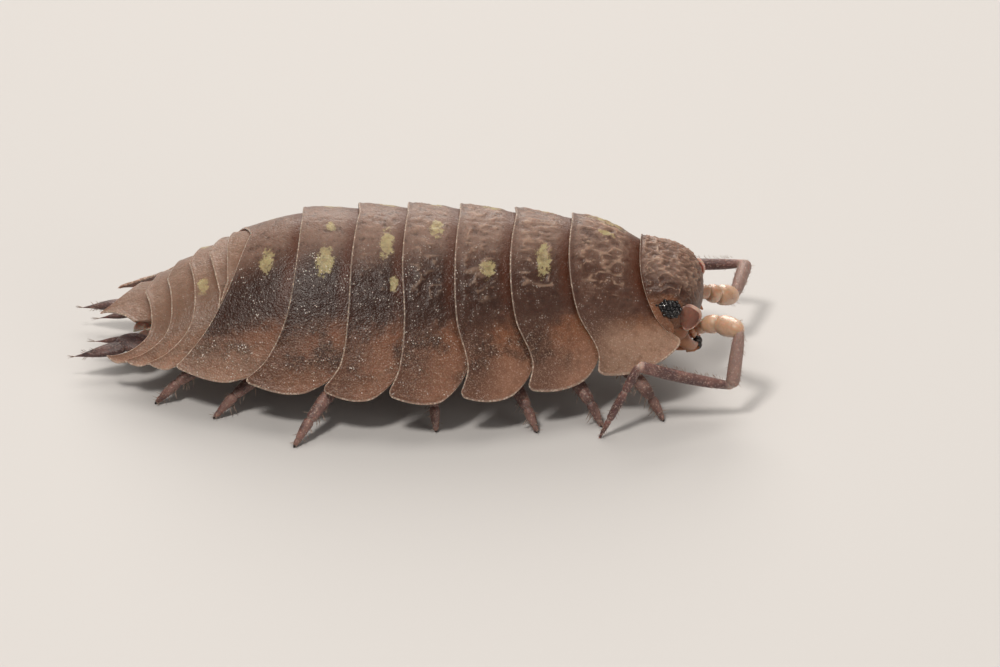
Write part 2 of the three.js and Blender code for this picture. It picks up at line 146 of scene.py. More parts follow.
# Legs: hips, feet as (x, distance from the midline), bends as (share along, share outward, height),
# shares of the way from the last bend to a point below the foot, and half thicknesses
HIP_Y, KNEE_Y = 1.75, 1.15
LEG_ROOTS = [5.6, 4.05, 2.55, 1, -0.45, -1.9, -3.3]
RIGHT_FEET = [(7.3, 2.7), (5.7, 3.1), (4, 3.5), (1.3, 3.6), (-2.46, 4.6), (-4.7, 3.2), (-6.3, 2.5)]
LEFT_FEET = [(7, 2.8), (6, 3.2), (3.6, 3.7), (1.6, 4.1), (-2.1, 4.4), (-4.4, 3.5), (-6.1, 2.7)]
LEG_BENDS = [(0.3, 0.42, 1.16), (0.5, 0.62, 1.04), (0.76, 0.84, 0.6)]
TIP_SHARES = [0.62, 0.8, 0.87]
BELOW_FOOT = -0.08
LEG_RADII = [0.24, 0.23, 0.21, 0.2, 0.16, 0.1, 0.055]
CLAW_RADII = [0.05, 0.035, 0.008]
LEG_HAIRS, LEG_SPINES = 12, 7

# Feelers, from the head to the tip on the ground, and the half thickness at each article's two ends
RIGHT_FEELER = [
    (8.06, -0.95, 1.88), (8.25, -1.12, 2.08), (8.62, -1.42, 2.3), (9.2, -1.95, 2.42), (9.03, -2.5, 1.05),
    (6.6, -3.1, 1.92), (6.25, -3.28, 1.25), (5.85, -3.48, 0.5), (5.6, -3.61, 0.03),
]
LEFT_FEELER = [
    (8, 0.95, 1.9), (8.25, 1.1, 1.8), (8.5, 1.25, 1.65), (8.95, 1.55, 1.45), (9.2, 2.9, 1.69),
    (6.6, 3.55, 1.3), (6.15, 3.65, 0.85), (5.75, 3.75, 0.35), (5.52, 3.81, 0.03),
]
FEELER_RADII = [
    (0.17, 0.2), (0.2, 0.27), (0.27, 0.25), (0.15, 0.21), (0.14, 0.18), (0.12, 0.13), (0.115, 0.11),
    (0.095, 0.035),
]
FEELER_HAIRS = [0, 0, 30, 90, 150, 40, 36, 30]
CLEAR_ARTICLES = 3
FEELER_TUFT = 6

# Hairs and spines: length and half thickness, and how far above the floor they and feeler hairs' roots stay
HAIR_LENGTH, HAIR_RADIUS = 0.13, 0.008
SPINE_LENGTH, SPINE_RADIUS = 0.24, 0.014
SHORT_HAIR_LENGTH, SHORT_HAIR_RADIUS = 0.09, 0.007
FLOOR_CLEARANCE = 0.03
FEELER_HAIR_FLOOR = 0.12

# Left tail limb: the base by centre and half sizes, and each branch's root, run to the tip, half
# thickness, outward bow, start and power of its taper, and half thickness at the tip
UROPOD_BASE = ((-6.86, 0.96, 0.99), (0.5, 0.4, 0.19))
OUTER_BRANCH = ((-7.0, 1.06, 0.98), (-1.4, 0.24, -0.26), 0.24, 0.05, 0.3, 0.8, 0.012)
INNER_BRANCH = ((-6.9, 0.72, 0.95), (-1.0, -0.1, -0.15), 0.11, 0.0, 0.4, 1.0, 0.01)
UROPOD_HAIRS = 46

# Gill flaps: front edge and its step from pair to pair, length, half width and what each next pair has
# less, depth below the belly's line, fall towards the rear, and thickness
GILL_PAIRS = 5
GILL_FRONT, GILL_STEP = -4.35, 0.45
GILL_LENGTH, GILL_HALF_WIDTH, GILL_NARROWING = 0.82, 1.03, 0.06
GILL_DEPTH, GILL_FALL, GILL_THICKNESS = 0.2, 0.43, 0.045

# Camera: the photograph's angle, its width at the animal and the point at the picture's centre
CAMERA_TURN = math.radians(3.0)
CAMERA_HEIGHT = math.radians(30.0)
CAMERA_DISTANCE = 300.0
PICTURE_WIDTH = 26.5
SENSOR = 36.0
AIM = (2.786, 0.0, 1.007)

# Studio: floor, sky, and lights by name, place, size and power, in metres and watts
FLOOR_HALF_WIDTH = 0.6
WARM = (1.0, 0.925, 0.85)
SKY_COLOUR, SKY_STRENGTH = (1.0, 0.95, 0.9, 1.0), 0.2
LIGHTS = [
    ("key", (-0.035, -0.07, 0.14), 0.03, 0.15),
    ("top", (0.03, 0.05, 0.16), 0.12, 0.1),
    ("back", (-0.01, 0.16, 0.1), 0.14, 0.23),
    ("fill", (0.13, -0.1, 0.05), 0.1, 0.05),
]


def through(pairs):
    """A smooth curve through a few (place, value) pairs, level beyond its two ends."""
    xs, ys = np.array(pairs, float).T
    order = np.arange(len(xs))
    last = len(xs) - 1
    before = np.maximum(order - 1, 0)
    after = np.minimum(order + 1, last)
    slopes = (ys[after] - ys[before]) / (xs[after] - xs[before])

    def value(place):
        p = np.clip(np.asarray(place, float), xs[0], xs[last])
        i = np.clip(np.searchsorted(xs, p, side="right") - 1, 0, last - 1)
        width = xs[i + 1] - xs[i]
        s = (p - xs[i]) / width
        rise = (3 - 2 * s) * s * s
        ease = s * (1 - s) ** 2 * slopes[i] - s * s * (1 - s) * slopes[i + 1]
        return ys[i] + (ys[i + 1] - ys[i]) * rise + ease * width

    return value


def through_points(points, count):
    """Evenly spaced places on a smooth line through a few points."""
    places = np.linspace(0, len(points) - 1, count)
    return np.stack([through(list(enumerate(points[:, k])))(places) for k in range(3)], -1)


def margin(values):
    """A plate's hind margin, as x at a share of the way to either side edge."""
    curve = through(list(zip(MARGIN_SHARES, values)))
    return lambda share: curve(np.abs(share))


def smooth(value, low, high):
    """A smooth step from 0 at low to 1 at high."""
    s = np.clip((np.asarray(value, float) - low) / (high - low), 0, 1)
    return s * s * (3 - 2 * s)


def mix(a, b, share):
    """The value a share of the way from a to b."""
    return a + (b - a) * share


def half_circle(way):
    """The rise of a quarter circle from 0 to 1 as way goes from 0 to 1."""
    return np.sqrt(1 - (1 - np.clip(way, 0, 1)) ** 2)


def circle(count):
    """Evenly spaced angles once round."""
    return np.linspace(0, 2 * math.pi, count, endpoint=False)


def mirrored(points, side):
    """Points of the left side, or their mirror image for side -1."""
    return np.asarray(points, float) * (1, side, 1)


half_width = through([
    (-7.95, 0.8), (-7.55, 1.74), (-7.05, 2.1), (-6.4, 2.35), (-5.65, 2.65), (-3.8, 3.3), (-1.7, 3.7),
    (0.3, 3.87), (1.9, 3.8), (3.7, 3.35), (5.5, 2.65), (6.3, 2.5), (7.2, 2.2), (7.9, 1.75),
])
edge_height = through([
    (-7.55, 1.01), (-6.4, 1.15), (-5.65, 1.23), (0.3, 1.25), (3.7, 1.25), (5.5, 1.34), (6.3, 1.46),
    (7.2, 1.7), (7.9, 2.05),
])
back_height = through([
    (-7.9, 1.22), (-6.65, 1.9), (-6.1, 2.28), (-5.5, 2.8), (-4.9, 3.18), (-3.9, 3.73), (-2.5, 4.33),
    (-1, 4.5), (2, 4.56), (4, 4.5), (5.5, 4.37), (6.5, 3.9), (7.1, 3.63), (7.6, 3.3), (8.1, 2.6),
])


def body_point(x, share, lift):
    """Points of the body's outer form at x and a share of the way to the side edge, raised by lift."""
    width = half_width(x)
    height = back_height(x) - edge_height(x)
    angle = math.pi / 2 * share
    out_y = height * math.pi / 2 * np.sin(angle)
    length = np.hypot(out_y, width)
    y = width * share + lift * out_y / length
    z = edge_height(x) + height * np.cos(angle) + lift * width / length
    return np.stack([x + 0 * y, y, z], -1)


def belly_height(x):
    """The height of the belly's middle."""
    return mix(edge_height(x), back_height(x), 0.1)


# Where the animal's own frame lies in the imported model
shift = np.array([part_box("telson")[0].x / MM - TELSON_TIP, 0, 0])
shift[1] = (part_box("pereonite_4")[0].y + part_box("pereonite_4")[1].y) / 2 / MM


def placed(points):
    """Points of the animal's own frame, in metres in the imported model's frame."""
    return (np.asarray(points, float) + shift) * MM


def add_object(name, data):
    """A new object in the scene."""
    made = bpy.data.objects.new(name, data)
    bpy.context.scene.collection.objects.link(made)
    return made


def add_piece(name, material, slot, points, faces, values=None, replaces=()):
    """A mesh piece on the animal, with named numbers kept at its points for its material."""
    mesh = bpy.data.meshes.new(name)
    mesh.from_pydata(placed(points).tolist(), [], faces)
    mesh.validate()
    mesh.shade_smooth()
    for key, numbers in (values or {}).items():
        layer = mesh.attributes.new(key, "FLOAT", "POINT")
        layer.data.foreach_set("value", np.asarray(numbers, np.float32).ravel())
    mesh.materials.append(material)
    piece = add_object(name, mesh)
    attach(piece, "root")
    if replaces:
        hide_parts(*replaces)


def add_shell(name, material, slot, outer, inner, values, replaces=(), flip=False):
    """A closed thin piece between an outer grid of points and a like inner one."""
    points = np.concatenate([outer, inner]).reshape(-1, 3)
    values = {key: np.tile(numbers.ravel(), 2) for key, numbers in values.items()}
    faces = shell_faces(*outer.shape[:2])
    if flip:
        faces = [face[::-1] for face in faces]
    add_piece(name, material, slot, points, faces, values, replaces)


def grid_faces(rows, columns, start=0, flip=False, wrap=False):
    """Quads of a grid of points, seen from above where rows run to +X and columns to +Y."""
    faces = []
    for i in range(rows - 1):
        for j in range(columns if wrap else columns - 1):
            k = (j + 1) % columns
            row, after = start + i * columns, start + (i + 1) * columns
            a, b, c, d = row + j, after + j, after + k, row + k
            faces.append((a, d, c, b) if flip else (a, b, c, d))
    return faces


def shell_faces(rows, columns):
    """Faces of a closed shell between an upper grid and a like lower one."""
    low = rows * columns
    faces = grid_faces(rows, columns) + grid_faces(rows, columns, low, flip=True)
    border = list(range(0, low, columns))
    border += range(low - columns + 1, low)
    border += range(low - columns - 1, 0, -columns)
    border += range(columns - 2, 0, -1)
    for a, b in zip(border, border[1:] + border[:1]):
        faces.append((a, a + low, b + low, b))
    return faces


def end_faces(rows, columns):
    """The two faces that close a tube of rings."""
    last = range((rows - 1) * columns, rows * columns)
    return [tuple(range(columns)), tuple(reversed(last))]


# Materials

class Nodes:
    """A short way to write a material's node tree."""

    def __init__(self, name):
        self.material = bpy.data.materials.new(name)
        self.material.use_nodes = True
        self.tree = self.material.node_tree
        self.shader = self.tree.nodes["Principled BSDF"]

    def feed(self, node, inputs):
        """Set inputs to numbers or colours, or link them to other nodes' outputs."""
        for key, source in inputs.items():
            if isinstance(source, (int, float, tuple)):
                node.inputs[key].default_value = source
            elif source is not None:
                self.tree.links.new(source, node.inputs[key])

    def add(self, kind, inputs, **settings):
        """The outputs of a new node."""
        node = self.tree.nodes.new(kind)
        for key, value in settings.items():
            setattr(node, key, value)
        self.feed(node, inputs)
        return node.outputs

    def millimetres(self):
        """The place on the piece."""
        place = self.add("ShaderNodeTexCoord", {})["Object"]
        return self.add("ShaderNodeVectorMath", {0: place, "Scale": 1 / MM}, operation="SCALE")[0]

    def value(self, name):
        """A number that the piece keeps at its points."""
        return self.add("ShaderNodeAttribute", {}, attribute_name=name)["Fac"]

    def math(self, operation, a, b):
        return self.add("ShaderNodeMath", {0: a, 1: b}, operation=operation)[0]

    def times(self, a, b):
        return self.math("MULTIPLY", a, b)

    def plus(self, a, b):
        return self.math("ADD", a, b)

    def minus(self, a, b):
        return self.math("SUBTRACT", a, b)

    def ramp(self, value, low, high, start=0.0, end=1.0):
        """A smooth step from start to end as value goes from low to high."""
        inputs = {"Value": value, "From Min": low, "From Max": high, "To Min": start, "To Max": end}
        return self.add("ShaderNodeMapRange", inputs, interpolation_type="SMOOTHSTEP")[0]

    def noise(self, place, scale, detail=3.0, rough=0.55):
        inputs = {"Vector": place, "Scale": scale, "Detail": detail, "Roughness": rough}
        return self.add("ShaderNodeTexNoise", inputs)["Fac"]

    def cells(self, place, scale):
        """A net of cells: the distance from a cell's middle and the cell's own colour."""
        net = self.add("ShaderNodeTexVoronoi", {"Vector": place, "Scale": scale})
        return net["Distance"], net["Color"]

    def dots(self, place, scale, skipped, size):
        """Round spots in the cells of a net, except for a skipped share of them."""
        distance, cell = self.cells(place, scale)
        spot = self.ramp(distance, size, 0.5 * size)
        kept = self.ramp(cell, skipped - 0.01, skipped + 0.01) if skipped else 1.0
        return self.times(spot, kept)

    def mix(self, share, a, b):
        """Colour a, with a share of colour b over it."""
        return self.add("ShaderNodeMix", {0: share, 6: a, 7: b}, data_type="RGBA")[2]

    def bump(self, height, depth, strength, under=None):
        """Relief of a depth in millimetres, over the relief under it if there is one."""
        inputs = {"Strength": strength, "Distance": depth * MM, "Height": height, "Normal": under}
        return self.add("ShaderNodeBump", inputs)[0]

    def finish(self, body, roughness, normal=None, **numbers):
        """The material, with more of its shader's inputs by name."""
        self.feed(self.shader, {"Base Color": body, "Roughness": roughness, "Normal": normal})
        self.feed(self.shader, {key.replace("_", " "): number for key, number in numbers.items()})
        return self.material


def colour(red, green, blue):
    """A screen colour of 0 to 255 as the shader's linear one."""
    return tuple((c / 255 / 12.92) if c < 10 else ((c / 255 + 0.055) / 1.055) ** 2.4
                 for c in (red, green, blue)) + (1.0,)


# Screen colours of the back, its side plates and its markings, and of painted light: highlights on ridge
# tops, glints and sparkles, and shade in grooves
SHELL_COLOURS = {
    "top": (122, 98, 86), "flank": (92, 64, 52), "light": (146, 120, 106),
    "dark": (54, 37, 31), "band": (38, 18, 11), "painted_ridge_highlight": (180, 152, 132),
    "painted_groove_shade": (66, 42, 34), "front": (84, 44, 26), "amber": (114, 70, 44),
    "edge": (134, 96, 76), "dark_side": (84, 50, 36), "hind_side": (80, 54, 43),
    "cloud": (50, 31, 23), "grain": (160, 128, 106), "pale": (156, 127, 108),
    "painted_sparkle": (186, 158, 138), "smudge": (96, 66, 50), "yellow": (170, 158, 116),
    "bead": (214, 196, 180), "glint": (222, 214, 206),
}


def shell_material():
    """Chitin of the back: dark middle, amber side plates, pale margins and dull yellow patches."""
    n = Nodes("shell")
    paint = {name: colour(*rgb) for name, rgb in SHELL_COLOURS.items()}
    place = n.millimetres()
    share, along, rim, patch, tone, ridge = map(n.value, "share along rim patch tone ridge".split())
    coarse = n.noise(place, 1.1, 4.0, 0.6)
    middle = n.noise(place, 4.5, 4.0, 0.65)
    fine = n.noise(place, 15.0, 3.0, 0.6)
    wander = n.plus(n.times(coarse, 0.2), n.times(middle, 0.16))
    wander = n.plus(n.minus(wander, 0.24), n.times(along, 0.12))
    wavy = n.plus(share, wander)
    stripe = n.times(n.ramp(wavy, 0.22, 0.48), n.ramp(wavy, 0.82, 0.66))

    back = n.mix(n.ramp(share, 0.15, 0.5), paint["top"], paint["flank"])
    back = n.mix(n.ramp(middle, 0.5, 0.72, 0.0, 0.45), back, paint["light"])
    back = n.mix(n.ramp(middle, 0.48, 0.32, 0.0, 0.6), back, paint["dark"])
    back = n.mix(n.times(stripe, tone), back, paint["band"])
    # Painted highlight: the wrinkles' ridge tops are mixed towards a pale colour, less on the darker plates
    painted_ridge_highlight = n.minus(0.68, n.times(tone, 0.46))
    painted_ridge_highlight = n.times(n.ramp(ridge, 0.36, 0.9), painted_ridge_highlight)
    back = n.mix(painted_ridge_highlight, back, paint["painted_ridge_highlight"])
    # Painted shade: the low parts between the ridges are mixed towards a dark colour
    painted_groove_shade = n.times(n.ramp(ridge, 0.14, 0.0), n.minus(0.6, n.times(tone, 0.5)))
    back = n.mix(painted_groove_shade, back, paint["painted_groove_shade"])
    band = n.times(n.ramp(along, 0.72, 0.95), n.ramp(wavy, 0.8, 0.5))
    back = n.mix(n.times(band, 0.7), back, paint["front"])

    side = n.mix(n.ramp(share, 0.7, 0.96), paint["amber"], paint["edge"])
    side = n.mix(n.ramp(tone, 0.6, 0.9, 0.0, 0.35), side, paint["dark_side"])
    side = n.mix(n.ramp(along, 0.2, 0.7, 0.8, 0.0), side, paint["hind_side"])
    cloud = n.times(n.ramp(coarse, 0.45, 0.62), n.ramp(tone, 0.0, 0.8, 0.4, 0.9))
    side = n.mix(n.times(cloud, n.ramp(share, 1.0, 0.86)), side, paint["cloud"])
    side = n.mix(n.ramp(fine, 0.54, 0.74, 0.0, 0.35), side, paint["grain"])

    body = n.mix(n.ramp(wavy, 0.67, 0.8), back, side)
    body = n.mix(n.times(n.value("pale"), 0.7), body, paint["pale"])
    # Painted sparkle: pale specks on the side plates, standing in for light caught on their granules
    sparkle_noise = n.noise(place, 26.0, 3.0, 0.7)
    painted_sparkles = n.times(n.ramp(sparkle_noise, 0.5, 0.68, 0.0, 0.42), n.ramp(share, 0.6, 0.85))
    body = n.mix(painted_sparkles, body, paint["painted_sparkle"])
    smudges = n.times(n.ramp(middle, 0.5, 0.34, 0.0, 0.4), n.ramp(share, 0.6, 0.8))
    body = n.mix(smudges, body, paint["smudge"])

    torn = n.times(n.minus(n.noise(place, 6.0, 6.0, 0.75), 0.5), 3.4)
    mask = n.ramp(n.plus(patch, torn), 0.4, 0.8)
    mask = n.times(mask, n.ramp(patch, 0.02, 0.35))
    mask = n.times(mask, n.ramp(middle, 0.3, 0.62, 0.45, 0.85))
    body = n.mix(mask, body, paint["yellow"])
    beads = n.dots(place, 13.0, 0.0, 0.5)
    beads = n.times(n.ramp(rim, 0.2, 0.85), n.plus(n.times(beads, 0.6), 0.35))
    body = n.mix(beads, body, paint["bead"])
    # Painted highlights: clusters of pale glints, standing in for light caught on granules
    cluster = n.times(n.ramp(middle, 0.46, 0.66), n.ramp(coarse, 0.38, 0.62, 0.3, 1.0))
    glints = n.times(n.dots(place, 17.0, 0.45, 0.4), cluster)
    glints = n.times(glints, n.ramp(tone, 0.55, 0.95, 0.35, 1.0))
    glints = n.times(glints, n.ramp(share, 0.15, 0.4))
    body = n.mix(glints, body, paint["glint"])

    grains, _ = n.cells(place, 19.0)
    normal = n.bump(grains, 0.012, 0.5)
    normal = n.bump(fine, 0.016, 0.35, normal)
    normal = n.bump(middle, 0.05, 0.55, normal)
    rough = n.minus(n.ramp(middle, 0.3, 0.7, 0.34, 0.46), n.times(stripe, 0.05))
    return n.finish(body, rough, normal, Subsurface_Weight=0.1, Subsurface_Scale=0.3 * MM,
                    Specular_IOR_Level=0.27)


def limb_material(name, base, dark, pale):
    """Mottled chitin of legs, feelers and tail limbs."""
    n = Nodes(name)
    place = n.millimetres()
    broad = n.noise(place, 2.2, 3.0)
    fine = n.noise(place, 16.0, 3.0, 0.6)
    scales, _ = n.cells(place, 20.0)
    body = n.mix(n.ramp(broad, 0.38, 0.62), colour(*base), colour(*dark))
    body = n.mix(n.ramp(fine, 0.52, 0.72, 0.0, 0.6), body, colour(*pale))
    body = n.mix(n.value("joint"), body, colour(*pale))
    normal = n.bump(fine, 0.02, 0.5, n.bump(scales, 0.02, 0.5))
    return n.finish(body, 0.45, normal, Subsurface_Weight=0.25, Subsurface_Scale=0.3 * MM)


def pale_material(name, base, shade, clear=0.0):
    """Thin pale cuticle with light in it."""
    n = Nodes(name)
    place = n.millimetres()
    broad = n.noise(place, 1.8, 3.0)
    fine = n.noise(place, 14.0, 3.0)
    body = n.mix(n.ramp(broad, 0.35, 0.65), colour(*base), colour(*shade))
    body = n.mix(n.times(n.value("rim"), 0.6), body, colour(214, 196, 182))
    normal = n.bump(fine, 0.02, 0.4)
    return n.finish(body, n.ramp(fine, 0.3, 0.7, 0.3, 0.45), normal, Subsurface_Weight=0.5,
                    Subsurface_Scale=0.5 * MM, Transmission_Weight=clear)


def eye_material():
    """Black and glossy, like wet beads."""
    n = Nodes("eye")
    place = n.millimetres()
    broad = n.noise(place, 5.0, 2.0)
    body = n.mix(broad, colour(6, 6, 8), colour(24, 22, 26))
    normal = n.bump(n.noise(place, 40.0, 2.0), 0.004, 0.4)
    return n.finish(body, n.ramp(broad, 0.3, 0.7, 0.08, 0.2), normal, Coat_Weight=0.5)


def bristle_material():
    """Pale hairs and spines."""
    n = Nodes("bristle")
    place = n.millimetres()
    body = n.mix(n.noise(place, 6.0), colour(188, 170, 156), colour(120, 92, 80))
    return n.finish(body, n.ramp(n.noise(place, 9.0), 0.3, 0.7, 0.35, 0.5))


shell = shell_material()
limb = limb_material("limb", (124, 94, 86), (90, 65, 61), (190, 164, 150))
feeler = limb_material("feeler", (114, 82, 76), (82, 58, 57), (192, 164, 152))
clear_limb = pale_material("clear_limb", (198, 166, 138), (172, 134, 106), 0.15)
gill = pale_material("gill", (168, 146, 126), (132, 108, 92))
mouth = pale_material("mouth", (128, 78, 44), (160, 112, 76))
lobe = pale_material("lobe", (136, 94, 78), (114, 74, 60))
tail_limb = limb_material("tail_limb", (92, 66, 62), (62, 44, 44), (140, 116, 108))
jaw_tip = pale_material("jaw_tip", (34, 28, 24), (20, 17, 15))
eye = eye_material()
bristle = bristle_material()
belly = pale_material("belly", (168, 140, 122), (128, 102, 90))


# Back plates

def ridges(point, stretch, seed):
    """Sharp winding ridges of height 0 to 1 at a point, longest along the body."""
    spot = Vector((point[0] * stretch[0], point[1] * stretch[1], point[2] * stretch[1] + seed))
    spot.x += 1.1 * noise.noise(spot * 0.6)
    main = max(0.0, 1 - 2.6 * abs(noise.noise(spot))) ** 1.8
    knob = max(0.0, noise.noise(spot * 1.7 + Vector((5, 2, 9))))
    return 0.85 * main + 0.45 * knob


def wrinkled(points, field, stretch, seed):
    """Ridges at a grid of points, as high as a field of 0 to 1 lets them be."""
    lumps = np.zeros_like(field)
    for spot in zip(*np.nonzero(field > 0.01)):
        lumps[spot] = ridges(points[spot], stretch, seed) * field[spot]
    return lumps


def patch_field(x, share_signed, spots):
    """Closeness to the plate's yellow patches, each (x, share, length, breadth)."""
    field = np.zeros_like(x)
    for cx, cs, length, breadth in spots:
        gap = np.hypot((x - cx) / length, (share_signed - cs) / breadth)
        field = np.maximum(field, smooth(gap, 1.5, 0.2))
    return field


def plate_reach(ways, span, rounding, free_front):
    """How far the rows of a plate reach to the sides, as shares of the body's half width."""
    if span < 1.0:
        return np.full_like(ways, span)
    bulge = SIDE_BULGE * np.sin(math.pi * np.clip(ways, 0, 1))
    front_corner = rounding * np.clip((ways - 0.5) / 0.5, 0, 1.4) ** (7 if free_front else 5)
    hind_corner = HIND_CORNER * np.clip(1 - ways / 0.09, 0, 1) ** 2
    return 1 + bulge - front_corner - hind_corner


def plate(name, rear, front, tone, wrinkle, tongue, span=1.0, rounding=0.0, spots=(), pale=None,
          columns=150, rows=36, free_front=False, shingle=SHINGLE):
    """A thin back plate: its hind rim lies over the next plate, its front under the one before."""
    ways = np.concatenate([[0, 0.008, 0.02, 0.04, 0.07], np.linspace(0.11, 1, rows), [1.07, 1.15]])
    ways = ways[:, None]
    side = np.linspace(-1, 1, columns)
    side = side + 0.06 * np.sin(math.pi * side)
    reach = plate_reach(ways, span, rounding, free_front)
    t = reach * side
    share = np.abs(t)
    long = front(t) - rear(t)
    along = np.clip(ways, 0, 1) + 0 * t
    x = rear(t) + long * along + np.clip((ways - 1) / 0.15, 0, 1) * tongue

    hind = x - rear(t)
    lateral = np.ones_like(x)
    if span == 1.0:
        lateral = (1 - np.abs(side)) * reach * half_width(x) * 1.2
    free = np.minimum(hind, lateral)
    round_off = 1 - np.sqrt(np.clip(free / (0.6 * RIM_THICKNESS), 0, 1))
    core = smooth(share, 0.75, 0.5) * smooth(hind, 0.1, 0.5)
    thickness = RIM_THICKNESS + CORE_THICKNESS * core
    lip = LIP_HEIGHT * smooth(free, 0.13, 0.03)
    lift = RIM_RISE - shingle * hind / np.maximum(long, 0.2)
    upper = lift + lip - 0.5 * RIM_THICKNESS * round_off
    lower = lift - thickness + 0.42 * RIM_THICKNESS * round_off

    seed = 7.0 * (sum(ord(letter) for letter in name) % 97)
    field = smooth(share, 0.72, 0.5) * smooth(along, 0.05, 0.22) * smooth(along, 0.92, 0.68)
    bumps = wrinkled(body_point(x, t, upper), field, PLATE_STRETCH, seed)
    rim = np.maximum(smooth(hind, 0.06, 0.0), smooth(lateral, 0.07, 0.0))
    if free_front:
        rim = np.maximum(rim, smooth(front(t) + tongue - x, 0.06, 0.0) * smooth(share, 0.72, 0.84))
    values = {
        "share": share,
        "along": along,
        "rim": rim,
        "patch": patch_field(x, t, spots),
        "tone": np.full_like(x, tone),
        "pale": np.zeros_like(x) if pale is None else pale(x, share),
        "ridge": bumps * min(wrinkle / 0.04, 1),
    }
    outer = body_point(x, t, upper + wrinkle * bumps)
    inner = body_point(x, t, lower)
    add_shell(f"{name}_plate", shell, "shell", outer, inner, values, [name])


head_rear = margin(HEAD_MARGIN)
pereon_rears = [margin(m) for m in PEREON_MARGINS]
pleon_rears = [margin(m) for m in PLEON_MARGINS]


def first_pale(x, share):
    """The side of the first trunk plate is a pale greyish cream."""
    return smooth(share, 0.68, 0.85) * smooth(x, 5.2, 6.0)


def last_pale(x, share):
    """The side edge of the last trunk plate is paler than the rest of it."""
    return 0.55 * smooth(share, 0.72, 0.98)


def tail_pale(x, share):
    """The tail is paler all over than the trunk."""
    return 0.6 + 0 * x


def build_trunk():
    """The seven trunk plates, from the one behind the head."""
    for i, rear in enumerate(pereon_rears):
        front = head_rear if i == 0 else pereon_rears[i - 1]
        plate(
            f"pereonite_{i + 1}", rear, front, PEREON_TONES[i], PEREON_WRINKLES[i], PEREON_TONGUES[i],
            rounding=PEREON_ROUNDING[i], spots=PEREON_SPOTS[i],
            pale={0: first_pale, 6: last_pale}.get(i), free_front=i == 0,
        )


def build_tail():
    """The five tail plates, the first two of them narrow, and the telson."""
    last = pereon_rears[6]

    def fade(t):
        return NARROW_LENGTH * smooth(np.abs(t), 0.62, 0.42)

    rears = list(pleon_rears)
    rears[0] = lambda t: np.minimum(pleon_rears[0](t), last(t) - fade(t))
    rears[1] = lambda t: np.minimum(pleon_rears[1](t), rears[0](t) - fade(t))
    fronts = [last, rears[0], lambda t: np.minimum(rears[1](t), last(t)), rears[2], rears[3]]
    for i, rear in enumerate(rears):
        plate(
            f"pleonite_{i + 1}", rear, fronts[i], PLEON_TONES[i], TAIL_WRINKLE, PLEON_TONGUES[i],
            span=PLEON_SPANS[i], rounding=PLEON_ROUNDING[i], spots=PLEON_SPOTS[i], pale=tail_pale,
            columns=110, rows=20, shingle=PLEON_SHINGLES[i],
        )

    def telson_rear(t):
        return mix(TELSON_TIP, TELSON_CORNER, np.minimum(np.abs(t) / TELSON_SPAN, 1) ** 0.8)

    plate("telson", telson_rear, pleon_rears[4], TELSON_TONE, TAIL_WRINKLE, TELSON_TONGUE,
          span=TELSON_SPAN, pale=tail_pale, columns=70, rows=24)


def build_belly():
    """The underside: one skin under the plates with a crease between each two segments."""
    xs = np.linspace(BELLY_REAR, BELLY_FRONT, 150)
    angle = circle(72)
    creases = np.array([m[0] + CREASE_AHEAD for m in PEREON_MARGINS + PLEON_MARGINS])
    rings = []
    for x in xs:
        crease = CREASE_DEPTH * np.exp(-((x - creases) / CREASE_LENGTH) ** 2).sum()
        end = math.sqrt(max(0.0, 1 - (abs(x) / BELLY_HALF_LENGTH) ** 10))
        share = BELLY_SPAN * np.cos(angle) * (0.5 + 0.5 * end)
        ring = body_point(np.full_like(share, x), share, BELLY_LIFT)
        low = float(belly_height(x)) + crease + 0.25 * (1 - end)
        under = low + (ring[:, 2] - low) * np.abs(np.cos(angle)) ** 5
        ring[:, 2] = np.where(np.sin(angle) < 0, np.minimum(under, ring[:, 2]), ring[:, 2])
        rings.append(ring)
    points = np.array(rings).reshape(-1, 3)
    faces = grid_faces(len(xs), len(angle), wrap=True) + end_faces(len(xs), len(angle))
    add_piece("belly", belly, "pale_cuticle", points, faces)


# Limbs

RNG = np.random.default_rng(7)


def joined(parts):
    """Several (points, faces, values) as one."""
    points, faces, values, start = [], [], {}, 0
    for part_points, part_faces, part_values in parts:
        points.append(np.asarray(part_points))
        faces += [tuple(i + start for i in face) for face in part_faces]
        for key, numbers in part_values.items():
            values.setdefault(key, []).append(np.asarray(numbers, float))
        start += len(part_points)
    values = {key: np.concatenate(numbers) for key, numbers in values.items()}
    return np.concatenate(points), faces, values


def crossways(axis):
    """Two directions across an axis."""
    side = np.cross(axis, (0.0, 0.0, 1.0))
    if np.linalg.norm(side) < 0.05:
        side = np.cross(axis, (0.0, 1.0, 0.0))
    side = side / np.linalg.norm(side)
    return side, np.cross(side, axis)


def tube(centres, radii, sides=16, flat=1.0, joint=None):
    """A tube of rings along a line of centres, its height a flat share of its width."""
    centres = np.asarray(centres, float)
    steps = np.gradient(centres, axis=0)
    rings = []
    side, _ = crossways(steps[0] / np.linalg.norm(steps[0]))
    angle = circle(sides)[:, None]
    for centre, step, radius in zip(centres, steps, radii):
        axis = step / np.linalg.norm(step)
        side = side - axis * side.dot(axis)
        side = side / np.linalg.norm(side)
        up = np.cross(side, axis)
        rings.append(centre + radius * (np.cos(angle) * side + flat * np.sin(angle) * up))
    points = np.concatenate(rings)
    faces = grid_faces(len(centres), sides, flip=True, wrap=True) + end_faces(len(centres), sides)
    joint = np.zeros(len(centres)) if joint is None else joint
    return points, faces, {"joint": np.repeat(joint, sides)}


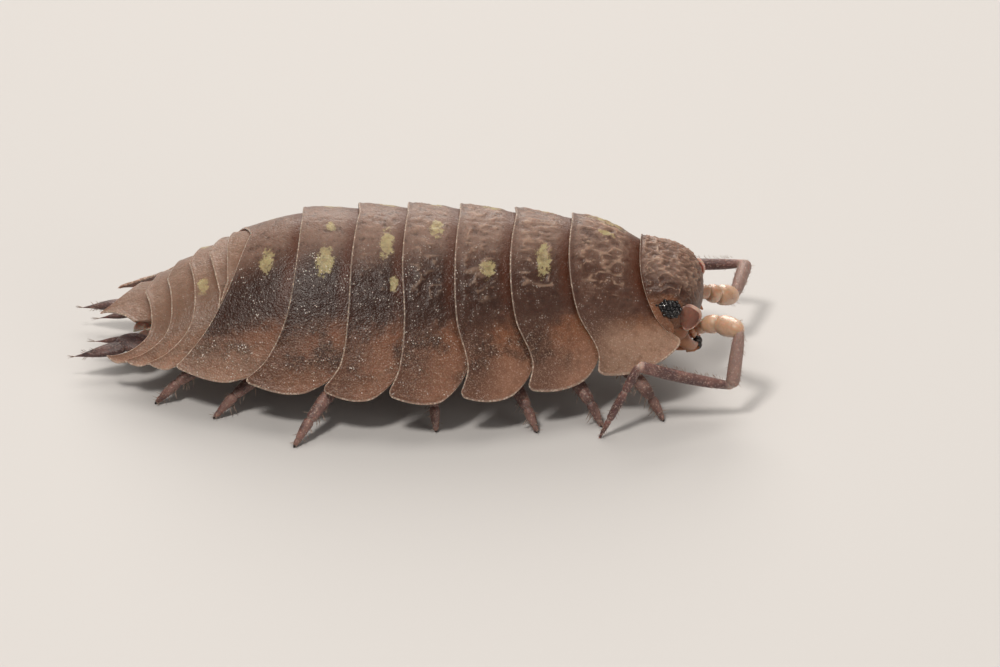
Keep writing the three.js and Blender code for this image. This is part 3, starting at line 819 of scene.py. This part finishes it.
def article(start, end, first, last, bend, swell=0.1, sides=16, tint=0.0):
    """One article of a limb: narrow at its root, fullest beyond the middle, with pale soft ends."""
    s = np.concatenate([[0, 0.012, 0.03, 0.06], np.linspace(0.11, 0.89, 12), [0.94, 0.97, 0.99, 1]])
    length = np.linalg.norm(end - start)
    overlap = 0.7 * first / length
    places = start + (end - start) * (s[:, None] * (1 + overlap) - overlap * 0.5)
    _, up = crossways((end - start) / length)
    places += up * (bend * length * np.sin(math.pi * s))[:, None]
    body = mix(first, last, s) * (0.9 + swell * np.sin(math.pi * np.clip(s * 1.15, 0, 1)))
    root_round = min(0.9 * first / length, 0.3)
    tip_round = min(0.9 * last / length, 0.3)
    root = half_circle(s / root_round) * mix(0.86, 1, smooth(s, 0.05, 0.25))
    tip = half_circle((1 - s) / tip_round)
    joint = np.maximum(tint, 0.8 * np.maximum(smooth(s, 0.1, 0.03), smooth(s, 0.94, 0.985)))
    return tube(places, np.maximum(body * root * tip, 0.004), sides, joint=joint)


def bristles(name, roots, ways, lengths, width, bend=0.3):
    """Fine tapered hairs, each a bent three-sided spike, as one piece."""
    parts = []
    for root, way, length in zip(roots, ways, lengths):
        way = way / np.linalg.norm(way)
        if min(root[2], root[2] + way[2] * length) < FLOOR_CLEARANCE:
            continue
        side, up = crossways(way)
        centres = [root - way * 0.02, root + way * length * 0.5 + up * bend * length * 0.12,
                   root + way * length + up * bend * length * 0.45]
        angle = circle(3)[:, None]
        rings = [c + w * (np.cos(angle) * side + np.sin(angle) * up)
                 for c, w in zip(centres, (width, width * 0.8, width * 0.12))]
        parts.append((np.concatenate(rings), grid_faces(3, 3, flip=True, wrap=True), {}))
    add_piece(name, bristle, "limb", *joined(parts))


def hairs_along(start, end, radius, count, length, lean=0.6, low=False):
    """Roots, directions and lengths of hairs round an article, denser towards its far end."""
    axis = (end - start) / np.linalg.norm(end - start)
    side, up = crossways(axis)
    roots, ways, lengths = [], [], []
    for _ in range(count):
        s = 0.1 + 0.87 * RNG.random() ** 0.8
        turn = RNG.uniform(math.pi * 1.15, math.pi * 1.85) if low else RNG.uniform(0, 2 * math.pi)
        out = math.cos(turn) * side + math.sin(turn) * up
        roots.append(start + (end - start) * s + out * radius * 0.95)
        ways.append(out + axis * lean * RNG.uniform(0.6, 1.4))
        lengths.append(length * RNG.uniform(0.6, 1.3))
    return roots, ways, lengths


def gather(groups):
    """The roots, the directions and the lengths of several groups of hairs, each as one list."""
    return tuple(sum((list(group[i]) for group in groups), []) for i in range(3))


def leg_points(root, foot, side):
    """The ends of a leg's articles, from the hip to the claw's tip."""
    hip = float(belly_height(root)) - 0.1
    chain = [(root, HIP_Y, hip + 0.05), (mix(root, foot[0], 0.05), KNEE_Y, hip - 0.45)]
    for along, outward, height in LEG_BENDS:
        chain.append((mix(root, foot[0], along), mix(KNEE_Y, foot[1], outward), height))
    ankle, below = np.array(chain[-1]), np.array([*foot, BELOW_FOOT])
    chain += [mix(ankle, below, share) for share in TIP_SHARES]
    return mirrored(chain, side)


def build_leg(name, side, root, foot):
    """Six articles with hairs and spines on the outer four, and a black claw."""
    points = leg_points(root, foot, side)
    parts, hairs, spines = [], [], []
    for j in range(6):
        a, b = points[j], points[j + 1]
        parts.append(article(a, b, LEG_RADII[j], LEG_RADII[j + 1], 0.02))
        if j >= 2:
            radius = (LEG_RADII[j] + LEG_RADII[j + 1]) / 2
            hairs.append(hairs_along(a, b, radius, LEG_HAIRS, HAIR_LENGTH))
            spines.append(hairs_along(a, b, radius, LEG_SPINES, SPINE_LENGTH, low=True))
    add_piece(f"{name}_joints", limb, "limb", *joined(parts), [name])
    bristles(f"{name}_hairs", *gather(hairs), HAIR_RADIUS)
    bristles(f"{name}_spines", *gather(spines), SPINE_RADIUS, 0.1)
    claw = [points[6], mix(points[6], points[7], 0.6), points[7]]
    add_piece(f"{name}_claw", jaw_tip, "limb", *tube(claw, CLAW_RADII, 10))


def build_legs():
    """Seven pairs, each leg on its own hip and foot."""
    for (name, side), feet in zip(SIDES, (LEFT_FEET, RIGHT_FEET)):
        for i, root in enumerate(LEG_ROOTS):
            build_leg(f"leg_{name}_{i + 1}", side, root, feet[i])


def build_feeler(name, points):
    """Eight articles, the first few clear and the rest dark, with hairs and a tuft at the tip."""
    points = np.array(points, float)
    parts, hairs = [], []
    for j, (first, last) in enumerate(FEELER_RADII):
        a, b = points[j], points[j + 1]
        swell = 0.16 if j < CLEAR_ARTICLES else 0.1
        tint = 0.35 if j == CLEAR_ARTICLES else 0.0
        parts.append(article(a, b, first, last, -0.02 if j == 4 else 0.01, swell, 20, tint))
        if FEELER_HAIRS[j]:
            radius = (first + last) / 2
            hairs.append(hairs_along(a, b, radius, FEELER_HAIRS[j], SHORT_HAIR_LENGTH, lean=1.1))
    clear, dark = joined(parts[:CLEAR_ARTICLES]), joined(parts[CLEAR_ARTICLES:])
    add_piece(f"{name}_base", clear_limb, "pale_cuticle", *clear)
    add_piece(f"{name}_outer", feeler, "limb", *dark, [name])
    way = points[-1] - points[-2]
    roots = [points[-1] - way * 0.05 * k for k in range(FEELER_TUFT)]
    hairs.append((roots, [way + RNG.normal(0, 0.12, 3) for _ in roots], [0.12] * FEELER_TUFT))
    groups = gather(hairs)
    kept = [k for k, root in enumerate(groups[0]) if root[2] > FEELER_HAIR_FLOOR]
    bristles(f"{name}_hairs", *([group[k] for k in kept] for group in groups), SHORT_HAIR_RADIUS)


def build_feelers():
    """The large antennae, bent back beside the body."""
    build_feeler("antenna_right", RIGHT_FEELER)
    build_feeler("antenna_left", LEFT_FEELER)


def rounded(centre, radii, rows=24, columns=36, lean=(0.0, 0.0, 0.0)):
    """An ellipsoid turned by lean about the three axes."""
    polar = np.linspace(0.02, math.pi - 0.02, rows)[:, None]
    angle = circle(columns)
    unit = np.stack([np.sin(polar) * np.cos(angle), np.sin(polar) * np.sin(angle),
                     np.cos(polar) + 0 * angle], -1).reshape(-1, 3)
    turn = np.array((Matrix.Rotation(lean[2], 3, "Z") @ Matrix.Rotation(lean[1], 3, "Y")
                     @ Matrix.Rotation(lean[0], 3, "X")))
    points = (unit * radii) @ turn.T + centre
    faces = grid_faces(rows, columns, wrap=True) + [face[::-1] for face in end_faces(rows, columns)]
    return points, faces, {"joint": np.zeros(len(points))}


# Head

def head_point(row, share):
    """The head's skin, from its hind rim at row 0 over the top and down the face to row 1."""
    turn = np.radians(mix(HEAD_RIM_TURN, HEAD_CHIN_TURN, row))
    lean = share * 1.47
    cx, _, cz = HEAD_CENTRE
    tall = np.where(np.sin(turn) > 0, HEAD_TOP, HEAD_BASE)
    skull = np.stack([
        cx + HEAD_FRONT * np.cos(lean) * np.cos(turn),
        HEAD_SIDE * np.sin(lean),
        cz + tall * np.cos(lean) * np.sin(turn),
    ], -1)
    collar_share = 0.86 * share
    lift = 0.07 - 0.16 * smooth(np.abs(share), 0.72, 1.0) - 0.07 * row
    collar = body_point(head_rear(collar_share) - 0.02 + 1.8 * row, collar_share, lift)
    return mix(collar, skull, smooth(row, 0.0, 0.28)[..., None])


def build_head():
    """The head's skin with its wrinkles and brow, its side lobes and its eyes."""
    row = np.concatenate([[0, 0.003, 0.007, 0.014, 0.024], np.linspace(0.035, 1, 120)])
    row, share = np.meshgrid(row, np.linspace(-1, 1, 150), indexing="ij")
    surface = head_point(row, share)
    out = surface - HEAD_MIDDLE
    out = out / np.linalg.norm(out, axis=-1, keepdims=True)
    half = np.abs(share)
    field = smooth(row, 0.02, 0.07) * smooth(row, 0.42, 0.3) * smooth(half, 0.74, 0.56)
    lumps = wrinkled(surface, field, HEAD_STRETCH, 11.0)
    brow = BROW_HEIGHT * np.exp(-((half - 0.6) / 0.045) ** 2)
    brow = brow * smooth(row, 0.06, 0.12) * smooth(row, 0.36, 0.28)
    lip = HEAD_LIP * smooth(row, 0.024, 0.007)
    rounding = -0.03 * (1 - np.sqrt(np.clip(row / 0.009, 0, 1)))
    outer = surface + out * (HEAD_WRINKLE * lumps + brow + lip + rounding)[..., None]
    inner = surface - out * (0.06 + 0.12 * smooth(row, 0.0, 0.15))[..., None]
    values = {
        "share": 0.24 + 0.54 * smooth(half, 0.34, 0.75),
        "along": 0.75 - row * smooth(half, 0.75, 0.5),
        "rim": smooth(row, 0.016, 0.003),
        "patch": np.zeros_like(row),
        "tone": np.full_like(row, 0.3),
        "pale": 0.35 * smooth(row, 0.45, 0.6) * smooth(half, 0.8, 0.5),
        "ridge": lumps,
    }
    add_shell("cephalon_skin", shell, "shell", outer, inner, values, ["cephalon"])
    for name, side in SIDES:
        build_lobe(name, side)
        build_eye(name, side)


def build_lobe(name, side):
    """A side lobe of the head: a thin rounded flap with a raised pale edge."""
    cx, cy, cz = LOBE_CENTRE
    rx, ry, rz = LOBE_RADII
    radius = np.concatenate([np.linspace(0.02, 1, 26), np.linspace(1, 0.02, 12)])[:, None]
    face = np.concatenate([np.ones(26), -np.ones(12)])[:, None]
    angle = circle(56)
    cosine, sine = np.cos(angle), np.sin(angle)
    free = smooth(cosine - 0.5 * sine, -0.7, 0.3)
    edge = LOBE_EDGE * np.exp(-((radius - 0.88) / 0.07) ** 2) * free
    depth = face * (ry * np.sqrt(np.clip(1 - radius ** 2, 0, 1)) + edge)
    x = cx + rx * radius * cosine * (1 + 0.12 * sine)
    z = cz + rz * radius * sine
    y = side * (cy + depth - 0.4 * (x - cx) - 0.16 * (1 - free) * radius)
    points = np.stack([x, y, z], -1).reshape(-1, 3)
    faces = grid_faces(len(radius), len(angle), flip=side < 0, wrap=True)
    values = {"rim": (smooth(radius, 0.78, 0.95) * free).ravel()}
    add_piece(f"lobe_{name}", lobe, "pale_cuticle", points, faces, values)


def build_eye(name, side):
    """A black compound eye of bead-like lenses, narrower and higher towards its rear."""
    turn = np.array(Matrix.Rotation(EYE_LEAN, 3, "X"))

    def rearward(u):
        return float(smooth(-u, -0.2, 1))

    def on_eye(u, across, w):
        height = (1 - EYE_TAPER * rearward(u)) * w + EYE_RISE * rearward(u)
        return (EYE_CENTRE + turn @ (np.array(EYE_RADII) * (u, across, height))) * (1, side, 1)

    parts = []
    rows = int(2 * EYE_RADII[2] / OCELLUS_PITCH / ROW_PITCH)
    for r in range(-rows, rows + 1):
        for c in range(-6, 7):
            u = (c + 0.5 * (r % 2)) * OCELLUS_PITCH / EYE_RADII[0]
            w = r * ROW_PITCH * OCELLUS_PITCH / (EYE_RADII[2] * (1 - EYE_TAPER * rearward(u)))
            if u * u + w * w < 0.84:
                size = OCELLUS * (1 - 0.25 * float(smooth(-u, 0.4, 1)))
                parts.append(rounded(on_eye(u, math.sqrt(1 - u * u - w * w), w), (size,) * 3, 8, 12))
    points, faces, values = rounded((0, 0, 0), (0.94, 1.02, 1.02), 16, 28)
    parts.append((np.array([on_eye(*point) for point in points]), faces, values))
    add_piece(f"eye_{name}_lenses", eye, "eye", *joined(parts), [f"eye_{name}"])


# Mouth

def build_mouth():
    """Upper lip, tiny first feelers, cheeks, palps and the plates that close the mouth from below."""
    parts = [
        rounded(*UPPER_LIP, lean=(0, -0.25, 0)),
        rounded(*FACE_PLATE, lean=(0, -0.2, 0)),
    ]
    for _, side in SIDES:
        parts.append(tube(mirrored(ANTENNULE, side), ANTENNULE_RADII, 12))
        parts.append(rounded(mirrored(UNDER_PLATE[0], side), UNDER_PLATE[1], lean=(side * 0.2, 0.12, 0)))
        parts.append(rounded(mirrored(CHEEK[0], side), CHEEK[1], lean=(0, 0, -side * 0.2)))
        parts.append(tube(mirrored(PALP, side), PALP_RADII, 12))
    add_piece("mouth_plates", mouth, "pale_cuticle", *joined(parts), ["mouthparts"])
    for name, side in SIDES:
        build_jaw(name, side)


def build_jaw(name, side):
    """A biting jaw with its black tip."""
    line = through_points(mirrored(MANDIBLE, side), 14)
    jaw = tube(line, np.linspace(*MANDIBLE_RADII, len(line)), 18)
    add_piece(f"mandible_{name}", mouth, "pale_cuticle", *jaw)
    tip = rounded(mirrored(JAW_TIP, side), JAW_TIP_RADII, 14, 20)
    add_piece(f"mandible_tip_{name}", jaw_tip, "eye", *tip)


# Tail limbs and gill flaps

def tail_branch(root, run, radius, bow, taper_start, power, tip_radius):
    """Centres and half thicknesses along one branch of the left tail limb."""
    s = np.linspace(0, 1, 22)
    centres = np.outer(s, run) + root
    centres[:, 1] += bow * np.sin(math.pi * s)
    taper = (1 - smooth(s, taper_start, 1.05)) ** power
    return centres, radius * np.sqrt(np.clip(s / 0.12, 0, 1)) * taper + tip_radius


def end_tuft(tip, count, length):
    """Hairs at a tail limb's tip, straight back but for a little spread."""
    ways = [np.array([-1, RNG.normal(0, 0.2), RNG.normal(0, 0.2)]) for _ in range(count)]
    return [tip] * count, ways, [length] * count


def build_tail_limbs():
    """Two branches on a base, on either side of the telson."""
    for name, side in SIDES:
        outer, wide = tail_branch(*OUTER_BRANCH)
        inner, slim = tail_branch(*INNER_BRANCH)
        outer, inner = mirrored(outer, side), mirrored(inner, side)
        base = rounded(mirrored(UROPOD_BASE[0], side), UROPOD_BASE[1])
        limb_parts = joined([base, tube(outer, wide, 18, 0.55), tube(inner, slim, 14, 0.8)])
        add_piece(f"uropod_{name}_lance", tail_limb, "shell", *limb_parts, [f"uropod_{name}"])
        hairs = [
            hairs_along(outer[6], outer[18], 0.1, UROPOD_HAIRS, SHORT_HAIR_LENGTH, lean=1.4),
            end_tuft(outer[-1], 6, 0.22),
            end_tuft(inner[-1], 5, 0.26),
        ]
        bristles(f"uropod_{name}_hairs", *gather(hairs), HAIR_RADIUS, 0.1)


def build_gills():
    """Pairs of thin flaps that hang under the tail, each over the next one behind."""
    u = np.linspace(-1, 1, 61)
    v = np.linspace(0, 1, 18)[:, None]
    half = np.abs(u)
    notch = 1 - 0.42 * np.exp(-(half / 0.12) ** 2)
    corner = np.clip(1 - np.clip((half - 0.55) / 0.47, 0, 1) ** 2.4, 0.02, 1)
    length = GILL_LENGTH * notch * np.sqrt(corner)
    for i in range(GILL_PAIRS):
        front = GILL_FRONT - GILL_STEP * i
        x = front - length * v
        y = (GILL_HALF_WIDTH - GILL_NARROWING * i) * u + 0 * v
        drop = GILL_FALL * (front - x) + 0.05 * np.sin(math.pi * half) * v
        upper = np.stack([x, y, belly_height(front) - GILL_DEPTH - drop], -1)
        lower = upper - (0.02, 0, GILL_THICKNESS)
        rim = smooth(v, 0.85, 1.0) + 0 * u
        name = f"pleopods_{i + 1}"
        add_shell(f"{name}_flaps", gill, "pale_cuticle", upper, lower, {"rim": rim}, [name], flip=True)


# Floor, lights and camera

def build_stage():
    """A plain pale floor under the animal's feet."""
    half = FLOOR_HALF_WIDTH
    mesh = bpy.data.meshes.new("floor")
    corners = [(-half, -half, 0), (half, -half, 0), (half, half, 0), (-half, half, 0)]
    mesh.from_pydata(corners, [], [(0, 1, 2, 3)])
    floor = add_object("floor", mesh)
    mesh.materials.append(Nodes("floor").finish(colour(196, 196, 196), 0.7))


def build_lights():
    """Round soft lights aimed at the animal, under a dim warm sky."""
    for name, place, size, power in LIGHTS:
        light = bpy.data.lights.new(name, "AREA")
        light.shape = "DISK"
        light.size = size
        light.energy = power
        light.color = WARM
        lamp = add_object(name, light)
        lamp.location = place
        lamp.rotation_euler = (-Vector(place)).to_track_quat("-Z", "Y").to_euler()
    world = bpy.data.worlds.new("studio")
    world.use_nodes = True
    background = world.node_tree.nodes["Background"]
    background.inputs["Color"].default_value = SKY_COLOUR
    background.inputs["Strength"].default_value = SKY_STRENGTH
    bpy.context.scene.world = world
    bpy.context.scene.view_settings.view_transform = "Standard"


def build_camera():
    """The photograph's view, from far away with a long lens."""
    away = np.array([
        math.sin(CAMERA_TURN) * math.cos(CAMERA_HEIGHT),
        -math.cos(CAMERA_TURN) * math.cos(CAMERA_HEIGHT),
        math.sin(CAMERA_HEIGHT),
    ])
    camera = add_object("camera", bpy.data.cameras.new("camera"))
    camera.data.sensor_width = SENSOR
    camera.data.lens = SENSOR * CAMERA_DISTANCE / PICTURE_WIDTH
    camera.data.clip_start = 0.001
    camera.data.clip_end = 10
    camera.location = placed(AIM + CAMERA_DISTANCE * away)
    camera.rotation_euler = Vector(-away).to_track_quat("-Z", "Y").to_euler()
    bpy.context.scene.camera = camera


build_camera()
build_stage()
build_lights()
build_trunk()
build_tail()
build_belly()
build_head()
build_mouth()
build_feelers()
build_legs()
build_tail_limbs()
build_gills()
